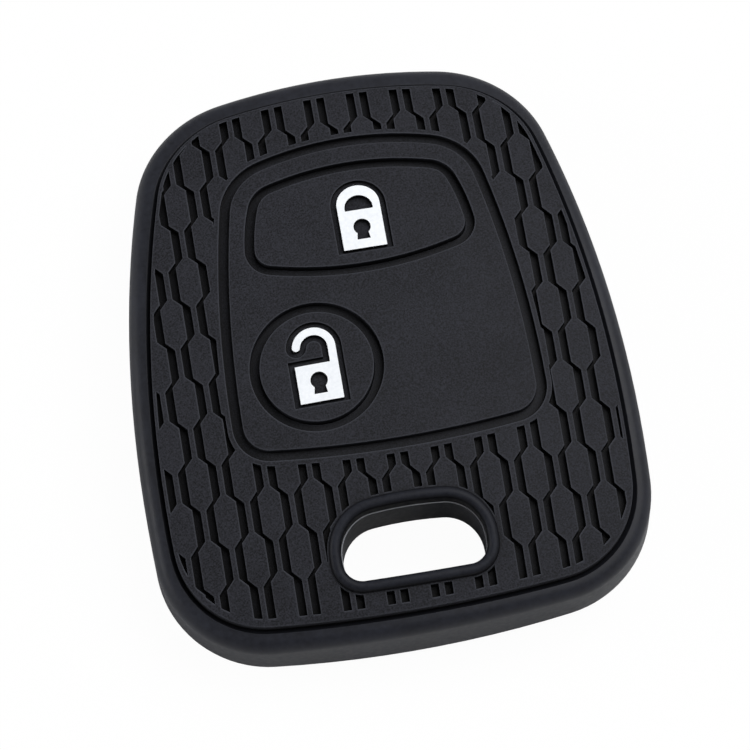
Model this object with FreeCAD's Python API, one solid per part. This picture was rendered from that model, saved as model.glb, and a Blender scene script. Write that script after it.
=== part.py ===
"""Silicone cover for a two-button car key, in millimetres.

X runs across the cover, +Y towards the end where the key blade comes out, +Z out of the buttoned face.
The origin is under the middle of the cover, on the flat of the back.
"""
import FreeCAD
import Part
import math
import os

Vector = FreeCAD.Vector
UP = Vector(0, 0, 1)

# Cover outline, seen from the front
cover_width = 50.0
cover_length = 59.6
cover_thickness = 13.0
widest_below_middle = 12.0
side_arc_radius = 130.0
blade_end_arc_radius = 74.0
ring_end_arc_radius = 119.0
blade_end_corner_radius = 11.9
ring_end_corner_radius = 11.4
ring_end_lean = 2.0

# Domed face; the dome and everything on it sit a little right of the outline's middle, and the
# raised face is turned a little clockwise in the rim
face_axis_offset = 0.5
face_dome_radius = 115.0
face_turn_degrees = 0.57

# Walls
side_wall = 1.9
back_wall = 1.4
rim_width = 2.0
blade_end_rim_width = 2.45
rim_drop = 0.7
shoulder_radius = 1.5
crease_share = 0.8
back_edge_radius = 2.4
face_layer = 1.3
seat_lip_width = 1.2
seat_lip = 0.7

# Bands along the length. Those above the panel and between panel and slot keep their proportion
# when the cover's length changes.
panel_from_blade_end = 8.95
panel_to_slot = 6.53
slot_from_ring_end = 5.43

# Mouth for the key blade
mouth_width = 26.0

# Hexagon-chain grip grooves
chain_pitch = 2.187
chain_straight = 3.29
chain_jog = 0.9
chain_swing = 0.42
chain_phase = 0.465
chain_axis_offset = 0.33
chain_row_slope = 0.01
chain_column_lean = 0.004
grip_groove_width = 0.8
grip_groove_depth = 0.8
grip_margin = 0.35
grip_ring_end_margin = 0.45
grip_to_panel = 0.5
grip_to_bead = 0.15
smallest_groove_area = 0.3

# Button panel
panel_width = 29.3
panel_length = 31.8
panel_widest_below_middle = 7.0
panel_side_radius = 115.0
panel_top_radius = 34.0
panel_bottom_radius = 85.0
panel_top_corner = 5.2
panel_bottom_corner = 2.8
panel_groove_width = 1.05
panel_groove_depth = 0.8

# Caps, the grooves round them and the webs that carry them
button_groove = 1.0
button_groove_depth = 0.9
web_clearance = 0.06
cap_thickness = 2.0
pip_radius = 1.6
pip_length = 0.8

lock_cap_width = 21.4
lock_cap_length = 10.4
lock_cap_from_panel_top = 2.85
lock_cap_widest_above_bottom = 1.4
lock_cap_side_radius = 20.0
lock_cap_top_radius = 32.0
lock_cap_bottom_radius = 32.0
lock_cap_top_corner = 2.2
lock_cap_bottom_corner = 1.9

unlock_cap_radius = 5.67
unlock_left_of_middle = 6.48
unlock_from_panel_top = 23.27

# White icon inlays
icon_width = 4.34
icon_height = 7.02
icon_stand = 0.1
icon_depth = 0.8
icon_recess_gap = 0.6
icon_recess_foot_gap = 0.3
icon_recess_depth = 0.45
lock_icon_offset = 0.35
lock_icon_below_cap_top = 1.86
lock_bow_radius = 1.42
lock_bow_rise = 0.2
lock_bow_below_top = 2.74
keyhole_radius = 0.86
keyhole_below_top = 4.66
keyhole_foot_width = 1.34
keyhole_waist = 0.9
keyhole_foot_below = 1.36
shackle_stroke = 0.8
open_body_height = 3.91
open_shackle_rise = 1.63
open_shackle_degrees = 169.0
open_icon_below_cap_top = 1.65
open_keyhole_below_body_top = 1.72

# Key-ring slot
slot_width = 14.4
slot_height = 6.89
slot_top_radius = 40.0
slot_bottom_radius = 200.0
slot_side_radius = 60.0
slot_top_corner = 4.0
slot_bottom_corner = 2.0
bead_width = 1.2
bead_height = 0.5
bead_outer_share = 0.46   # share of the bead's width that its outer rounding takes
bead_inner_share = 0.46   # the same for its rounding into the slot
collar_wall = 1.4
collar_step = 0.12
collar_top = 1.0
collar_depth = 4.8
rear_slot_margin = 1.7
rear_slot_round = 0.6

# Tall enough to pass through everything
tool_bottom = -6.0
tool_height = 30.0

blade_end_y = cover_length / 2
ring_end_y = -cover_length / 2
free_length = cover_length - panel_length - slot_height - slot_from_ring_end
band_scale = free_length / (panel_from_blade_end + panel_to_slot)
panel_top_y = blade_end_y - panel_from_blade_end * band_scale
slot_bottom_y = ring_end_y + slot_from_ring_end
lock_cap_top_y = panel_top_y - lock_cap_from_panel_top


def face_ball(depth):
    """Ball whose top runs the given depth under the domed face, its poles at the two ends of the cover."""
    pole = Vector(0, 1, 0)
    centre = Vector(face_axis_offset, 0, cover_thickness - face_dome_radius)
    ball = Part.makeSphere(face_dome_radius - depth)
    ball.Placement = FreeCAD.Placement(centre, FreeCAD.Rotation(-UP, pole.cross(-UP), pole, "XYZ"))
    return ball


def space_above(height):
    """Block wider than the cover, from a height upwards."""
    reach = cover_width + cover_length
    return Part.makeBox(2 * reach, 2 * reach, tool_height, Vector(-reach, -reach, height))


def face_height(x, y, depth=0.0):
    """Height of the surface that runs the given depth under the domed face."""
    radius = face_dome_radius - depth
    return cover_thickness - face_dome_radius + math.sqrt(radius**2 - (x - face_axis_offset)**2 - y**2)


def layer(prism, upper_depth, lower_depth):
    """The part of an upright prism between two depths under the domed face."""
    return prism.common(face_ball(upper_depth)).cut(face_ball(lower_depth))


def round_prism(x, y, radius, facing_degrees=0.0):
    """Upright cylinder whose seam is opposite the direction it faces."""
    cylinder = Part.makeCylinder(radius, tool_height, Vector(x, y, tool_bottom))
    cylinder.rotate(Vector(x, y, 0), UP, facing_degrees + 180.0)
    return cylinder


def box_prism(x_low, x_high, y_low, y_high):
    return Part.makeBox(x_high - x_low, y_high - y_low, tool_height, Vector(x_low, y_low, tool_bottom))


def circles_meet(first, first_radius, second, second_radius, near):
    """The point, of the two where circles cross, that lies nearer to a given point."""
    across = second - first
    distance = across.Length
    along = (distance**2 + first_radius**2 - second_radius**2) / (2 * distance)
    rise = math.sqrt(first_radius**2 - along**2)
    forward = across * (1 / distance)
    middle = first + forward * along
    sideways = Vector(-forward.y, forward.x, 0) * rise
    return min(middle + sideways, middle - sideways, key=lambda point: (point - near).Length)


class ArchedOutline:
    """Plan outline with four arched sides and rounded corners.

    It is the same either side of its middle, unless its bottom leans: then that is lowest left of the middle.
    """

    def __init__(self, middle_x, width, widest_y, side_radius, top_y, top_radius, bottom_y, bottom_radius,
                 top_corner, bottom_corner, bottom_lean=0.0):
        right_x = middle_x + width / 2
        left_x = middle_x - width / 2
        right = (Vector(right_x - side_radius, widest_y, 0), side_radius)
        top = (Vector(middle_x, top_y - top_radius, 0), top_radius)
        left = (Vector(left_x + side_radius, widest_y, 0), side_radius)
        bottom = (Vector(middle_x - bottom_lean, bottom_y + bottom_radius, 0), bottom_radius)
        top_right = self.corner(right, top, top_corner, Vector(right_x, top_y, 0))
        top_left = self.corner(top, left, top_corner, Vector(left_x, top_y, 0))
        bottom_left = self.corner(left, bottom, bottom_corner, Vector(left_x, bottom_y, 0))
        bottom_right = self.corner(bottom, right, bottom_corner, Vector(right_x, bottom_y, 0))
        self.arcs = [right, top_right, top, top_left, left, bottom_left, bottom, bottom_right]

    def turn(self, pivot, degrees):
        rotation = FreeCAD.Rotation(UP, degrees)
        self.arcs = [(pivot + rotation.multVec(centre - pivot), radius) for centre, radius in self.arcs]

    @staticmethod
    def corner(first, second, radius, near):
        """Circle inside two sides, touching both."""
        centre = circles_meet(first[0], first[1] - radius, second[0], second[1] - radius, near)
        return centre, radius

    def face(self, offset=0.0):
        """Flat face inside the outline, grown or shrunk all round."""
        edges = []
        count = len(self.arcs)
        for index, (centre, radius) in enumerate(self.arcs):
            before = self.touch(index - 1, index, offset)
            after = self.touch(index, (index + 1) % count, offset)
            direction = ((before - centre).normalize() + (after - centre).normalize()).normalize()
            edges.append(Part.Arc(before, centre + direction * (radius + offset), after).toShape())
        face = Part.Face(Part.Wire(edges))
        face.translate(Vector(0, 0, tool_bottom))
        return face

    def touch(self, first, second, offset):
        """Where two neighbouring arcs of the outline run into each other."""
        large, small = sorted((self.arcs[first], self.arcs[second]), key=lambda arc: -arc[1])
        return large[0] + (small[0] - large[0]).normalize() * (large[1] + offset)

    def prism(self, offset=0.0):
        return self.face(offset).extrude(Vector(0, 0, tool_height))


class RoundOutline:
    """Plan circle, used in the same way."""

    def __init__(self, x, y, radius):
        self.x, self.y, self.radius = x, y, radius

    def prism(self, offset=0.0):
        return round_prism(self.x, self.y, self.radius + offset)


def highest_face(shape):
    return max(shape.Faces, key=lambda face: face.CenterOfMass.z)


def lowest_face(shape):
    return min(shape.Faces, key=lambda face: face.CenterOfMass.z)


def top_ring(shape):
    """Highest face that has a hole in it."""
    return max((face for face in shape.Faces if len(face.Wires) > 1), key=lambda face: face.CenterOfMass.z)


def inner_edges(face):
    """Edges of the holes in a face."""
    return [edge for wire in face.Wires if not wire.isSame(face.OuterWire) for edge in wire.Edges]


def cover_outline():
    return ArchedOutline(0.0, cover_width, -widest_below_middle, side_arc_radius,
                         blade_end_y, blade_end_arc_radius, ring_end_y, ring_end_arc_radius,
                         blade_end_corner_radius, ring_end_corner_radius, ring_end_lean)


def plateau_outline():
    """Raised face inside the rim, turned about the middle of its ring end."""
    plateau = ArchedOutline(0.0, cover_width - 2 * rim_width, -widest_below_middle,
                            side_arc_radius - rim_width, blade_end_y - blade_end_rim_width,
                            blade_end_arc_radius - rim_width,
                            ring_end_y + rim_width, ring_end_arc_radius - rim_width,
                            blade_end_corner_radius - rim_width, ring_end_corner_radius - rim_width,
                            ring_end_lean)
    plateau.turn(Vector(0, slot_bottom_y, 0), -face_turn_degrees)
    return plateau


def panel_outline():
    bottom = panel_top_y - panel_length
    return ArchedOutline(face_axis_offset, panel_width, -panel_widest_below_middle, panel_side_radius,
                         panel_top_y, panel_top_radius, bottom, panel_bottom_radius,
                         panel_top_corner, panel_bottom_corner)


def lock_cap_outline():
    bottom = lock_cap_top_y - lock_cap_length
    widest_y = bottom + lock_cap_widest_above_bottom
    return ArchedOutline(face_axis_offset, lock_cap_width, widest_y, lock_cap_side_radius,
                         lock_cap_top_y, lock_cap_top_radius, bottom, lock_cap_bottom_radius,
                         lock_cap_top_corner, lock_cap_bottom_corner)


def lock_cap_centre():
    return face_axis_offset, lock_cap_top_y - lock_cap_length / 2


def unlock_cap_centre():
    return face_axis_offset - unlock_left_of_middle, panel_top_y - unlock_from_panel_top


def unlock_cap_outline():
    x, y = unlock_cap_centre()
    return RoundOutline(x, y, unlock_cap_radius)


def slot_outline():
    widest_y = slot_bottom_y + slot_bottom_corner
    return ArchedOutline(face_axis_offset, slot_width, widest_y, slot_side_radius,
                         slot_bottom_y + slot_height, slot_top_radius, slot_bottom_y, slot_bottom_radius,
                         slot_top_corner, slot_bottom_corner)


def make_sleeve_body(outline, plateau, slot):
    """Open tray: rounded shoulder, creased seat, lip under the face, blade mouth and rear slot."""
    tray = outline.prism().common(face_ball(rim_drop)).common(space_above(0.0))
    tray = tray.makeFillet(shoulder_radius, highest_face(tray).Edges)
    tray = tray.makeFillet(back_edge_radius, lowest_face(tray).Edges)

    tray = tray.cut(plateau.prism().cut(face_ball(face_layer)))
    rim_edges = [edge for face in tray.Faces for edge in inner_edges(face)]
    tray = tray.makeChamfer(crease_share * (face_layer - rim_drop), rim_edges)

    pocket_roof = face_ball(face_layer + seat_lip)
    pocket = outline.prism(-side_wall).common(pocket_roof)
    throat = plateau.prism(-seat_lip_width).common(face_ball(face_layer))
    mouth = box_prism(-mouth_width / 2, mouth_width / 2, 0.0, cover_length).common(pocket_roof)
    hollow = throat.fuse([pocket, mouth]).common(space_above(back_wall))
    body = tray.cut([hollow, slot.prism(rear_slot_margin)])
    return body.makeFillet(rear_slot_round, inner_edges(lowest_face(body)))


def chain_groove(index):
    """Plan face of one zigzag groove between two columns of hexagons, straight beyond the last of them.

    Its sides turn at mitred corners, so that the groove is as wide in a jog as along a hexagon.
    """
    middle_x = chain_axis_offset + (index + 0.5) * chain_pitch
    middle_y = chain_phase - chain_row_slope * middle_x
    half_period = chain_straight + chain_jog
    last = math.floor((blade_end_y - chain_straight / 2) / half_period)
    half_width = grip_groove_width / 2
    mitre = half_width * math.tan(math.atan2(2 * chain_swing, chain_jog) / 2)
    left = []
    right = []
    for step in range(-last, last + 1):
        side = 1 if (step + index) % 2 == 0 else -1
        left_x = middle_x + side * chain_swing - half_width
        right_x = left_x + grip_groove_width
        low_y = middle_y + step * half_period - chain_straight / 2
        high_y = low_y + chain_straight
        for end_y, shift in ((low_y, -side * mitre), (high_y, side * mitre)):
            left.append(Vector(left_x, end_y + shift, tool_bottom))
            right.append(Vector(right_x, end_y - shift, tool_bottom))
    for line in (left, right):
        line[0].y = -cover_length
        line[-1].y = cover_length
        for point in line:
            point.x += chain_column_lean * (point.y - slot_bottom_y)
    corners = left + right[::-1]
    return Part.Face(Part.makePolygon(corners + corners[:1]))


def make_grip_cutters(plateau, panel, slot):
    """All the grip grooves, clipped to the textured field, down to their domed floor."""
    field = plateau.face(-grip_margin)
    field = field.common(field.translated(Vector(0, grip_ring_end_margin, 0)))
    field = field.cut(panel.face(panel_groove_width + grip_to_panel))
    field = field.cut(slot.face(bead_width + grip_to_bead))
    columns = math.ceil(cover_width / 2 / chain_pitch)
    grooves = Part.makeCompound([chain_groove(index) for index in range(-columns - 1, columns + 1)])
    floor = face_ball(grip_groove_depth)
    pieces = [piece for piece in field.common(grooves).Faces if piece.Area > smallest_groove_area]
    return [piece.extrude(Vector(0, 0, tool_height)).cut(floor) for piece in pieces]


def make_front_face(plateau, panel, slot, caps):
    """Domed face layer: grip grooves, panel groove, button openings, the beaded slot and its collar."""
    plate = layer(plateau.prism(), 0.0, face_layer)
    bead = layer(slot.prism(bead_width), -bead_height, face_layer).cut(slot.prism())
    bead = bead.makeFillet(bead_width * bead_inner_share, inner_edges(top_ring(bead)))
    bead = bead.makeFillet(bead_width * bead_outer_share, top_ring(bead).OuterWire.Edges)
    bead = bead.common(plateau.prism())
    collar = layer(slot.prism(collar_wall), collar_top, collar_top + collar_depth)
    collar = collar.cut(slot.prism(-collar_step))
    panel_groove = panel.prism(panel_groove_width).cut(panel.prism()).cut(face_ball(panel_groove_depth))
    openings = [cap.prism(button_groove) for cap in caps]
    plate = plate.cut([slot.prism(bead_width / 2), panel_groove] + openings)
    plate = plate.cut(make_grip_cutters(plateau, panel, slot))
    return plate.fuse([bead, collar])


def make_web(cap):
    """Thin ring of silicone across the foot of a button's groove."""
    ring = cap.prism(button_groove).cut(cap.prism(web_clearance))
    return layer(ring, button_groove_depth, face_layer)


def make_cap(outline, centre, icon, icon_recess):
    """Button cap with a pip underneath, a recess round its icon and a pocket that holds the icon."""
    x, y = centre
    cap = layer(outline.prism(), 0.0, cap_thickness)
    pip_foot = face_height(x, y, cap_thickness + pip_length)
    pip_top = face_height(x, y, cap_thickness / 2)
    cap = cap.fuse(Part.makeCylinder(pip_radius, pip_top - pip_foot, Vector(x, y, pip_foot)))
    cap = cap.cut(icon_recess.cut(face_ball(icon_recess_depth)))
    return cap.cut(icon.cut(face_ball(icon_depth)))


def make_icon(icon):
    return layer(icon, -icon_stand, icon_depth)


def keyhole(x, circle_y):
    """Keyhole in the body of a padlock: a round eye with a flared foot."""
    foot_y = circle_y - keyhole_foot_below
    foot = [Vector(x - keyhole_foot_width / 2, foot_y, tool_bottom),
            Vector(x + keyhole_foot_width / 2, foot_y, tool_bottom),
            Vector(x + keyhole_waist / 2, circle_y, tool_bottom),
            Vector(x - keyhole_waist / 2, circle_y, tool_bottom)]
    foot_prism = Part.Face(Part.makePolygon(foot + foot[:1])).extrude(Vector(0, 0, tool_height))
    return foot_prism.fuse(round_prism(x, circle_y, keyhole_radius)).removeSplitter()


def lock_icon_middle():
    return face_axis_offset + lock_icon_offset


def closed_padlock(gap, foot_gap):
    """Closed padlock with an arched top, grown by one gap at its foot and another all round."""
    top = lock_cap_top_y - lock_icon_below_cap_top
    half = icon_width / 2
    bow_y = top - half
    x = lock_icon_middle()
    body = box_prism(x - half - gap, x + half + gap, top - icon_height - foot_gap, bow_y)
    return body.fuse(round_prism(x, bow_y, half + gap, 270.0)).removeSplitter()


def closed_padlock_holes():
    """Half-round hole under the bow, and the keyhole."""
    top = lock_cap_top_y - lock_icon_below_cap_top
    bow_y = top - lock_bow_below_top
    x = lock_icon_middle()
    bow = round_prism(x, bow_y + lock_bow_rise, lock_bow_radius, 90.0)
    bow = bow.common(box_prism(x - icon_width, x + icon_width, bow_y, top))
    return bow.fuse(keyhole(x, top - keyhole_below_top))


def open_padlock_places():
    """Middle, bow centre height and body top of the open padlock."""
    x, cap_y = unlock_cap_centre()
    bow_y = cap_y + unlock_cap_radius - open_icon_below_cap_top - icon_width / 2
    return x, bow_y, bow_y - open_shackle_rise


def open_padlock(gap, foot_gap):
    """Open padlock, its shackle clear on one side, grown by one gap at its foot and another all round."""
    x, bow_y, body_top = open_padlock_places()
    half = icon_width / 2
    body_foot = body_top - open_body_height - foot_gap
    body = box_prism(x - half - gap, x + half + gap, body_foot, body_top + gap)
    bow = round_prism(x, bow_y, half + gap, 270.0)
    bow = bow.cut(round_prism(x, bow_y, half - shackle_stroke - gap, 270.0))
    bow_foot = Vector(x, bow_y, tool_bottom)
    bow = bow.common(Part.makeCylinder(cover_width, tool_height, bow_foot, UP, open_shackle_degrees))
    leg = box_prism(x + half - shackle_stroke - gap, x + half + gap, body_top - gap, bow_y)
    tip_angle = math.radians(open_shackle_degrees)
    bow_radius = half - shackle_stroke / 2
    tip_x = x + bow_radius * math.cos(tip_angle)
    tip_y = bow_y + bow_radius * math.sin(tip_angle)
    tip = round_prism(tip_x, tip_y, shackle_stroke / 2 + gap, open_shackle_degrees - 90.0)
    return body.fuse([bow, leg, tip]).removeSplitter()


def open_padlock_holes():
    x, _, body_top = open_padlock_places()
    return keyhole(x, body_top - open_keyhole_below_body_top)


def build():
    outline = cover_outline()
    plateau = plateau_outline()
    panel = panel_outline()
    slot = slot_outline()
    lock_cap = lock_cap_outline()
    unlock_cap = unlock_cap_outline()
    lock_holes = closed_padlock_holes()
    unlock_holes = open_padlock_holes()
    lock_icon = closed_padlock(0.0, 0.0).cut(lock_holes)
    unlock_icon = open_padlock(0.0, 0.0).cut(unlock_holes)
    lock_recess = closed_padlock(icon_recess_gap, icon_recess_foot_gap)
    unlock_recess = open_padlock(icon_recess_gap, icon_recess_foot_gap)
    return {
        "sleeve_body": make_sleeve_body(outline, plateau, slot),
        "front_face": make_front_face(plateau, panel, slot, [lock_cap, unlock_cap]),
        "lock_button": make_cap(lock_cap, lock_cap_centre(), lock_icon, lock_recess),
        "unlock_button": make_cap(unlock_cap, unlock_cap_centre(), unlock_icon, unlock_recess),
        "lock_web": make_web(lock_cap),
        "unlock_web": make_web(unlock_cap),
        "lock_icon": make_icon(lock_icon),
        "unlock_icon": make_icon(unlock_icon),
    }


os.makedirs("parts", exist_ok=True)
for node_name, node_shape in build().items():
    print(node_name, len(node_shape.Solids), node_shape.isValid(), round(node_shape.Volume, 2))
    node_shape.exportStep("parts/" + node_name + ".step")
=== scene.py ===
import math

import bmesh
import bpy
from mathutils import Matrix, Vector
from mathutils.bvhtree import BVHTree
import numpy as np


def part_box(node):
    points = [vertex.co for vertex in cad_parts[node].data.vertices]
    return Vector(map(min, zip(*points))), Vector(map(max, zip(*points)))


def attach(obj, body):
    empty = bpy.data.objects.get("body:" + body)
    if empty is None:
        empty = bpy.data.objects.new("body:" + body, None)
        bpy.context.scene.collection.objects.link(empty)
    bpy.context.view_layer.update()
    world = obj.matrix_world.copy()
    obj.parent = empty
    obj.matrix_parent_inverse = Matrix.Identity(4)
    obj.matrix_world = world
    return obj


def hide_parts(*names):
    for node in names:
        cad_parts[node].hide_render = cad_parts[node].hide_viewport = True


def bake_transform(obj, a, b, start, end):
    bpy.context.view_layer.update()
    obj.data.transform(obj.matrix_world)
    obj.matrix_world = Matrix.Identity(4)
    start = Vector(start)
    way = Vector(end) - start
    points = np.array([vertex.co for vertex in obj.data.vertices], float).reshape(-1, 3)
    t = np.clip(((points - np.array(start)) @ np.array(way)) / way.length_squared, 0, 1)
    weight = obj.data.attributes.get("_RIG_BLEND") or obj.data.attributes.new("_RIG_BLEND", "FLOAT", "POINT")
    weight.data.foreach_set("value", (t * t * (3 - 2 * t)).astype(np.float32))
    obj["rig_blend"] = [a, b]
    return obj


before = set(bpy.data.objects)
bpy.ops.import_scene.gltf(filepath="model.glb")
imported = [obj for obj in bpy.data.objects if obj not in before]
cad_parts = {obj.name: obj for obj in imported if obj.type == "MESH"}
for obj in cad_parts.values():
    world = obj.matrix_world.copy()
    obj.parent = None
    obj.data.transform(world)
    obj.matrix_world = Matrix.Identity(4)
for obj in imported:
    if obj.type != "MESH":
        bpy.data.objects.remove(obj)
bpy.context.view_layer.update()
print("frame loaded:", ", ".join(sorted(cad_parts)))

millimetre = 0.001


# sRGB hex to the linear colour that the shaders want
def hexColour(text):
    channels = [int(text[i:i + 2], 16) / 255 for i in (1, 3, 5)]
    return [c / 12.92 if c <= 0.04045 else ((c + 0.055) / 1.055) ** 2.4 for c in channels] + [1.0]


# one node, its settings and its links; a link is (from node, output) keyed by the input's name
def addNode(tree, kind, settings=None, values=None, links=None):
    node = tree.nodes.new(kind)
    for name, value in (settings or {}).items():
        setattr(node, name, value)
    for name, value in (values or {}).items():
        node.inputs[name].default_value = value
    for name, (source, output) in (links or {}).items():
        tree.links.new(source.outputs[output], node.inputs[name])
    return node


def newMaterial(name):
    material = bpy.data.materials.new(name)
    material.use_nodes = True
    material.node_tree.nodes.clear()
    return material, material.node_tree


# Black silicone, compression moulded in a spark-eroded tool: a dense matte skin with a fine even grain and
# soft broad highlights, with a painted highlight along raised edges and painted shade, deep black, in the
# grooves
grainedSilicone = {
    "dark": "#0b0c10", "light": "#2b2c33", "paintedEdgeHighlight": "#3e4047", "paintedShadeTone": "#020203",
    "grain": 0.17,        # mm; the real grain is about 0.05, drawn coarser so that it shows
    "grainDepth": 0.03,   # mm
    "grainShare": 0.85,   # of the tone, the rest is slow mottle
    "mottle": 5.0,        # mm, slow change of tone
    "rough": (0.62, 0.78),
    "specular": 0.28,
    "edgeRadius": 0.13,   # mm
    "grooveReach": 0.9,   # mm
    "groovePaintedShade": 1.0,    # how far the painted shade takes a closed groove toward the dark tone
}

# The same silicone where the tool is polished: smoother, so its rim shows streaks of light
polishedSilicone = {
    "dark": "#191a20", "light": "#23252d", "paintedEdgeHighlight": "#303239", "paintedShadeTone": "#101115",
    "grain": 0.5,         # mm, faint flow ripple
    "grainDepth": 0.004,
    "grainShare": 0.5,
    "mottle": 7.0,
    "rough": (0.44, 0.54),
    "specular": 0.32,
    "edgeRadius": 0.12,
    "grooveReach": 2.2,
    "groovePaintedShade": 0.9,
}

# The slot's bead, formed by an insert of its own: dark and satin, with painted shade on its slopes and the
# crest left at its own tone
insertSilicone = {
    "dark": "#191a20", "light": "#24262d", "paintedEdgeHighlight": "#2b2d34", "paintedShadeTone": "#030304",
    "grain": 0.4,
    "grainDepth": 0.005,
    "grainShare": 0.5,
    "mottle": 4.0,
    "rough": (0.46, 0.56),
    "specular": 0.16,
    "edgeRadius": 0.08,
    "grooveReach": 2.5,
    "groovePaintedShade": 0.9,
    "crest": (0.45, 0.97),  # upward part of the normal between which the painted shade of the slopes gives way to the crest
}

# The ledge inside the key-ring slot: a painted highlight, smooth and paler than the skin, where light catches
# the ledge
ledgeHighlightFinish = {
    "dark": "#7d7f84", "light": "#94969b", "paintedEdgeHighlight": "#9c9ea3", "paintedShadeTone": "#6c6e73",
    "grain": 0.4,
    "grainDepth": 0.004,
    "grainShare": 0.5,
    "mottle": 3.0,
    "rough": (0.34, 0.42),
    "specular": 0.5,
    "edgeRadius": 0.05,
    "grooveReach": 0.3,
    "groovePaintedShade": 0.9,
}

# White silicone ink printed on the icons: satin, almost paper white, very slightly cool
whiteSilicone = {
    "dark": "#e9edf2", "light": "#f4f7fb", "paintedEdgeHighlight": "#f4f7fb", "paintedShadeTone": "#dfe4ea",
    "grain": 0.35,
    "grainDepth": 0.006,
    "grainShare": 0.6,
    "mottle": 1.5,
    "rough": (0.45, 0.58),
    "specular": 0.40,
    "edgeRadius": 0.10,
    "grooveReach": 0.3,
    "groovePaintedShade": 0.9,
}


siliconeIndex = 1.41

# How the shared skin shader reads a finish
skinShading = {
    "toneRange": (0.36, 0.64),   # noise values that take the dark and the light tone
    "roughRange": (0.3, 0.7),    # noise values that take the two roughnesses
    "edgeReach": 1.4,            # of the edge radius
    "edgeOpen": (0.5, 0.95),     # share of inward rays that meet no wall, at a sharp edge and on the flat
    "edgeHighlightShare": 0.8,            # how far a sharp edge goes to the painted highlight tone
    "skyOpen": (0.42, 0.9),      # share of open sky, in a closed groove and on the flat
    "crestDark": 0.9,            # how far the painted shade takes the bead toward the dark tone off its crest
    "rays": 6,
}


def siliconeMaterial(name, finish):
    shading = skinShading
    material, tree = newMaterial(name)
    place = addNode(tree, "ShaderNodeTexCoord")
    mottle = addNode(tree, "ShaderNodeTexNoise",
                     values={"Scale": 1 / (finish["mottle"] * millimetre), "Detail": 3.0, "Roughness": 0.6},
                     links={"Vector": (place, "Object")})
    grain = addNode(tree, "ShaderNodeTexNoise",
                    values={"Scale": 1 / (finish["grain"] * millimetre), "Detail": 2.0, "Roughness": 0.6},
                    links={"Vector": (place, "Object")})
    tone = addNode(tree, "ShaderNodeMix", {"data_type": "FLOAT"}, {"Factor": finish["grainShare"]},
                   {"A": (mottle, "Fac"), "B": (grain, "Fac")})
    colour = addNode(tree, "ShaderNodeValToRGB", links={"Fac": (tone, "Result")})
    for stop, level, tint in zip(colour.color_ramp.elements, shading["toneRange"], ("dark", "light")):
        stop.position = level
        stop.color = hexColour(finish[tint])
    # painted highlight on raised edges, found where a ray turned back into the solid soon leaves it
    edge = addNode(tree, "ShaderNodeAmbientOcclusion",
                   {"inside": True, "only_local": True, "samples": shading["rays"]},
                   {"Distance": finish["edgeRadius"] * shading["edgeReach"] * millimetre})
    onEdge = addNode(tree, "ShaderNodeMapRange",
                     values={"From Min": shading["edgeOpen"][0], "From Max": shading["edgeOpen"][1],
                             "To Min": shading["edgeHighlightShare"], "To Max": 0.0},
                     links={"Value": (edge, "AO")})
    paintedEdgeHighlight = addNode(tree, "ShaderNodeMixRGB", values={"Color2": hexColour(finish["paintedEdgeHighlight"])},
                     links={"Fac": (onEdge, "Result"), "Color1": (colour, "Color")})
    # painted shade: where little of the sky is in sight, as in grooves, the colour goes toward the dark tone
    groove = addNode(tree, "ShaderNodeAmbientOcclusion", {"samples": shading["rays"]},
                     {"Distance": finish["grooveReach"] * millimetre})
    shadeAmount = addNode(tree, "ShaderNodeMapRange",
                       values={"From Min": shading["skyOpen"][0], "From Max": shading["skyOpen"][1],
                               "To Min": finish["groovePaintedShade"], "To Max": 0.0},
                       links={"Value": (groove, "AO")})
    if "crest" in finish:
        facing = addNode(tree, "ShaderNodeNewGeometry")
        upward = addNode(tree, "ShaderNodeSeparateXYZ", links={"Vector": (facing, "Normal")})
        slopeShade = addNode(tree, "ShaderNodeMapRange",
                           values={"From Min": finish["crest"][0], "From Max": finish["crest"][1],
                                   "To Min": shading["crestDark"], "To Max": 0.0},
                           links={"Value": (upward, "Z")})
        shadeAmount = addNode(tree, "ShaderNodeMapRange", values={"To Max": shading["crestDark"]},
                           links={"Value": (slopeShade, "Result"), "To Min": (shadeAmount, "Result")})
    skin = addNode(tree, "ShaderNodeMixRGB", values={"Color2": hexColour(finish["paintedShadeTone"])},
                   links={"Fac": (shadeAmount, "Result"), "Color1": (paintedEdgeHighlight, "Color")})
    rough = addNode(tree, "ShaderNodeMapRange",
                    values={"From Min": shading["roughRange"][0], "From Max": shading["roughRange"][1],
                            "To Min": finish["rough"][0], "To Max": finish["rough"][1]},
                    links={"Value": (grain, "Fac")})
    softEdge = addNode(tree, "ShaderNodeBevel", {"samples": shading["rays"]},
                       {"Radius": finish["edgeRadius"] * millimetre})
    bump = addNode(tree, "ShaderNodeBump",
                   values={"Strength": 1.0, "Distance": finish["grainDepth"] * millimetre},
                   links={"Height": (grain, "Fac"), "Normal": (softEdge, "Normal")})
    shader = addNode(tree, "ShaderNodeBsdfPrincipled",
                     values={"IOR": siliconeIndex, "Specular IOR Level": finish["specular"]},
                     links={"Base Color": (skin, "Color"), "Roughness": (rough, "Result"),
                            "Normal": (bump, "Normal")})
    addNode(tree, "ShaderNodeOutputMaterial", links={"Surface": (shader, "BSDF")})
    return material


# The caps' skin is the face's, but its painted shade reaches only the edges of their shallow icon recess
capSilicone = {**grainedSilicone, "grooveReach": 0.35}

grainedBlack = siliconeMaterial("moulded_silicone_fine_grain_black", grainedSilicone)
capBlack = siliconeMaterial("moulded_silicone_fine_grain_cap", capSilicone)
insertBlack = siliconeMaterial("moulded_silicone_insert_black", insertSilicone)
polishedBlack = siliconeMaterial("moulded_silicone_polished_black", polishedSilicone)
ledgeHighlightPaint = siliconeMaterial("silicone_ledge_painted_highlight", ledgeHighlightFinish)
inkWhite = siliconeMaterial("printed_silicone_ink_satin_white", whiteSilicone)
print("materials made:", len(bpy.data.materials))


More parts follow.
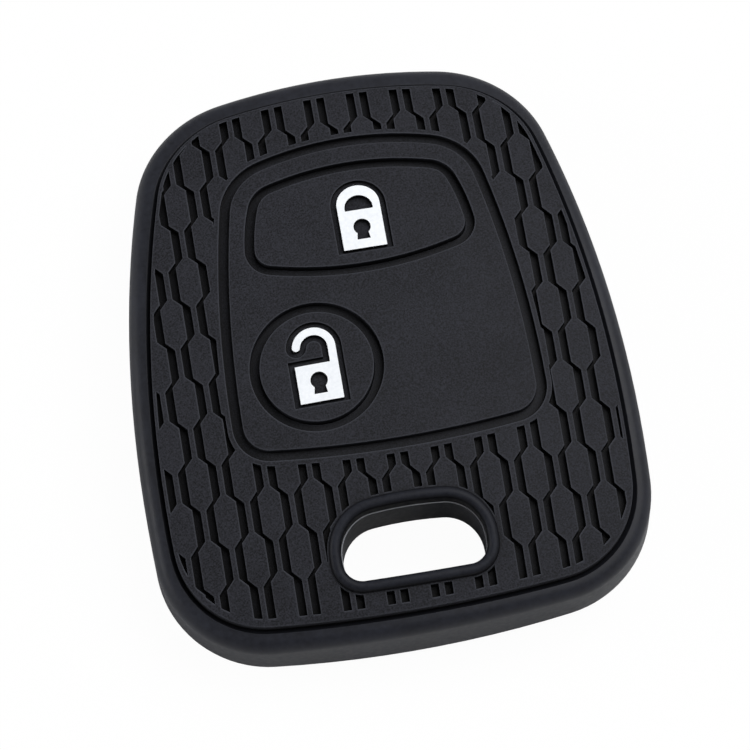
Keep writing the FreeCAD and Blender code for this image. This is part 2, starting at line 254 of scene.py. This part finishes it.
# A moulded piece keeps the solid's own shape, with its facets joined and shaded as one skin
mouldedPieces = {
    "coverSleeve": {"node": "sleeve_body", "body": "sleeve", "skin": polishedBlack, "slot": "black_silicone"},
    "gripFace": {"node": "front_face", "body": "sleeve", "skin": grainedBlack, "slot": "black_silicone"},
    "lockCap": {"node": "lock_button", "body": "lock_cap", "skin": capBlack, "slot": "black_silicone"},
    "unlockCap": {"node": "unlock_button", "body": "unlock_cap", "skin": capBlack, "slot": "black_silicone"},
    "lockInlay": {"node": "lock_icon", "body": "lock_cap", "skin": inkWhite, "slot": "white_silicone"},
    "unlockInlay": {"node": "unlock_icon", "body": "unlock_cap", "skin": inkWhite, "slot": "white_silicone"},
}
sharpAngle = math.radians(24)  # creases steeper than this stay crisp
weldDistance = 0.002 * millimetre


def weldedMesh(nodeName, pieceName):
    shape = bmesh.new()
    shape.from_mesh(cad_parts[nodeName].data)
    bmesh.ops.remove_doubles(shape, verts=shape.verts, dist=weldDistance)
    for face in shape.faces:
        face.smooth = True
    for edge in shape.edges:
        edge.smooth = len(edge.link_faces) == 2 and edge.calc_face_angle(0.0) < sharpAngle
    mesh = bpy.data.meshes.new(pieceName)
    shape.to_mesh(mesh)
    shape.free()
    mesh.materials.clear()
    return mesh


def addPiece(pieceName, mesh, material, nodeName):
    piece = bpy.data.objects.new(pieceName, mesh)
    bpy.context.scene.collection.objects.link(piece)
    mesh.materials.append(material)
    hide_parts(nodeName)
    return piece


for pieceName, moulded in mouldedPieces.items():
    mesh = weldedMesh(moulded["node"], pieceName)
    piece = addPiece(pieceName, mesh, moulded["skin"], moulded["node"])
    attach(piece, moulded["body"])
    print("moulded piece:", pieceName, len(piece.data.polygons), "faces")


# The ink lies on the icons' tops only, and the caps' tops keep their shorter painted shade; the sides take
# the face's black skin, with its wider painted groove shade
topFacing = 0.7  # upward part of the normal from which a face counts as a top


def bareSides(pieceName):
    mesh = bpy.data.objects[pieceName].data
    mesh.materials.append(grainedBlack)
    for face in mesh.polygons:
        if face.normal.z < topFacing:
            face.material_index = 1


for pieceName in ("lockCap", "unlockCap", "lockInlay", "unlockInlay"):
    bareSides(pieceName)

# The key-ring slot: a dark bead with painted shade on its slopes, a painted highlight along the ledge, and a
# polished collar below
slotZones = {
    "middle": (0.5, -20.92), "half": (8.4, 4.65),                   # mm, outside of the bead
    "upperCorner": 5.2, "lowerCorner": 3.2,                         # mm, its rounded corners
    "domeFoot": -102.0, "domeRadius": 115.0,                        # mm, the face's dome
    "skin": 0.03, "ledgeDepth": 1.0,                                # mm, from the dome's surface
    "flat": 0.9,                                                    # upward part of the ledge's normal
}


def paintSlotZones(pieceName):
    mesh = bpy.data.objects[pieceName].data
    for material in (insertBlack, ledgeHighlightPaint, polishedBlack):
        mesh.materials.append(material)
    bead, ledge, collar = 1, 2, 3  # their places in the list, after the face's own skin
    zones = slotZones
    for face in mesh.polygons:
        place = face.center / millimetre
        corner = zones["upperCorner"] if place.y > zones["middle"][1] else zones["lowerCorner"]
        across = [max(abs(place[i] - zones["middle"][i]) - zones["half"][i] + corner, 0) for i in (0, 1)]
        rise = (place - Vector((0.0, 0.0, zones["domeFoot"]))).length - zones["domeRadius"]
        if math.hypot(*across) > corner or abs(rise) < zones["skin"]:
            continue
        face.material_index = bead if rise > -zones["ledgeDepth"] - zones["skin"] else collar
        if face.normal.z > zones["flat"] and abs(rise + zones["ledgeDepth"]) < 2 * zones["skin"]:
            face.material_index = ledge


paintSlotZones("gripFace")
print("sides and slot trim coloured")


# Each button hangs on a thin web: its outer edge stays with the face, its inner edge follows the cap
buttonWebs = {
    "lockWeb": {"node": "lock_web", "cap": "lock_button", "body": "lock_cap"},
    "unlockWeb": {"node": "unlock_web", "cap": "unlock_button", "body": "unlock_cap"},
}
webShape = {"width": 0.94, "gap": 0.06}  # mm


def addWeb(pieceName, web):
    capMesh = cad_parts[web["cap"]].data
    capSkin = BVHTree.FromPolygons([v.co for v in capMesh.vertices],
                                   [tuple(p.vertices) for p in capMesh.polygons])
    mesh = weldedMesh(web["node"], pieceName)
    piece = addPiece(pieceName, mesh, grainedBlack, web["node"])
    low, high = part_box(web["node"])
    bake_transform(piece, "sleeve", web["body"], start=low, end=high)
    weights = []  # how far each point follows the cap, by its distance from it
    for vertex in mesh.vertices:
        distance = capSkin.find_nearest(vertex.co)[3] / millimetre
        weights.append(min(1.0, max(0.0, 1 - (distance - webShape["gap"]) / webShape["width"])))
    mesh.attributes["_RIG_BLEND"].data.foreach_set("value", weights)
    return piece


for pieceName, web in buttonWebs.items():
    piece = addWeb(pieceName, web)
    print("button web:", pieceName, len(piece.data.vertices), "points")


# Studio: white paper floor, one large soft light overhead to the right, pale walls low all round
studio = {
    "floorSize": 3.0, "floorDrop": 0.05 * millimetre, "floorColour": "#f4f4f4", "floorGlow": 0.97,
    "wallStrength": 0.56, "ceilingStrength": 0.07, "wallTop": 0.34, "ceilingFoot": 0.60,
    "keyPlace": (0.34, 0.13, 0.66), "keySize": 0.60, "keyPower": 5.55,
    "fillPlace": (-0.64, 0.10, 0.32), "fillSize": 0.30, "fillPower": 2.0,
}


def addFloor():
    shape = bmesh.new()
    bmesh.ops.create_grid(shape, x_segments=1, y_segments=1, size=studio["floorSize"] / 2)
    bmesh.ops.translate(shape, verts=shape.verts, vec=(0.0, 0.0, -studio["floorDrop"]))
    mesh = bpy.data.meshes.new("studioFloor")
    shape.to_mesh(mesh)
    shape.free()
    floor = bpy.data.objects.new("studioFloor", mesh)
    bpy.context.scene.collection.objects.link(floor)
    material, tree = newMaterial("matt_white_paper")
    seen = addNode(tree, "ShaderNodeLightPath")
    paper = addNode(tree, "ShaderNodeBsdfDiffuse", values={"Color": hexColour(studio["floorColour"])})
    glow = addNode(tree, "ShaderNodeEmission", values={"Strength": 1.0})
    share = addNode(tree, "ShaderNodeMath", {"operation": "MULTIPLY"}, {1: studio["floorGlow"]},
                    {0: (seen, "Is Camera Ray")})
    mixed = addNode(tree, "ShaderNodeMixShader", links={"Fac": (share, "Value")})
    tree.links.new(paper.outputs["BSDF"], mixed.inputs[1])
    tree.links.new(glow.outputs["Emission"], mixed.inputs[2])
    addNode(tree, "ShaderNodeOutputMaterial", links={"Surface": (mixed, "Shader")})
    mesh.materials.append(material)
    return floor


def addLamp(name, place, size, power):
    lamp = bpy.data.lights.new(name, "AREA")
    lamp.shape = "SQUARE"
    lamp.size = size
    lamp.energy = power
    holder = bpy.data.objects.new(name, lamp)
    bpy.context.scene.collection.objects.link(holder)
    holder.location = place
    holder.rotation_euler = (-Vector(place)).to_track_quat("-Z", "Y").to_euler()
    return holder


def setWorld():
    world = bpy.data.worlds.new("studioWorld")
    bpy.context.scene.world = world
    world.use_nodes = True
    tree = world.node_tree
    tree.nodes.clear()
    seen = addNode(tree, "ShaderNodeLightPath")
    direction = addNode(tree, "ShaderNodeTexCoord")
    height = addNode(tree, "ShaderNodeSeparateXYZ", links={"Vector": (direction, "Generated")})
    level = addNode(tree, "ShaderNodeMapRange",
                    values={"From Min": studio["wallTop"], "From Max": studio["ceilingFoot"],
                            "To Min": studio["wallStrength"], "To Max": studio["ceilingStrength"]},
                    links={"Value": (height, "Z")})
    around = addNode(tree, "ShaderNodeBackground", values={"Color": (1.0, 1.0, 1.0, 1.0)},
                     links={"Strength": (level, "Result")})
    white = addNode(tree, "ShaderNodeBackground", values={"Color": (1.0, 1.0, 1.0, 1.0), "Strength": 1.0})
    mixed = addNode(tree, "ShaderNodeMixShader", links={"Fac": (seen, "Is Camera Ray")})
    tree.links.new(around.outputs["Background"], mixed.inputs[1])
    tree.links.new(white.outputs["Background"], mixed.inputs[2])
    addNode(tree, "ShaderNodeOutputWorld", links={"Surface": (mixed, "Shader")})


addFloor()
addLamp("keySoftbox", studio["keyPlace"], studio["keySize"], studio["keyPower"])
addLamp("fillSoftbox", studio["fillPlace"], studio["fillSize"], studio["fillPower"])
setWorld()
print("studio ready")

# The photograph's view: from above the ring end, a little left, with a long lens
cameraView = {
    "place": (-21.002, -166.120, 478.320),  # mm
    "turn": (19.293, 0.774, -9.445),        # degrees
    "lens": 240.0, "sensor": 36.0,          # mm
    "clipStart": 10.0,                      # mm
}


def addCamera():
    camera = bpy.data.cameras.new("photoCamera")
    camera.lens = cameraView["lens"]
    camera.sensor_width = cameraView["sensor"]
    holder = bpy.data.objects.new("photoCamera", camera)
    bpy.context.scene.collection.objects.link(holder)
    holder.location = Vector(cameraView["place"]) * millimetre
    holder.rotation_euler = [math.radians(angle) for angle in cameraView["turn"]]
    camera.clip_start = cameraView["clipStart"] * millimetre
    bpy.context.scene.camera = holder


addCamera()
bpy.context.scene.view_settings.view_transform = "Standard"
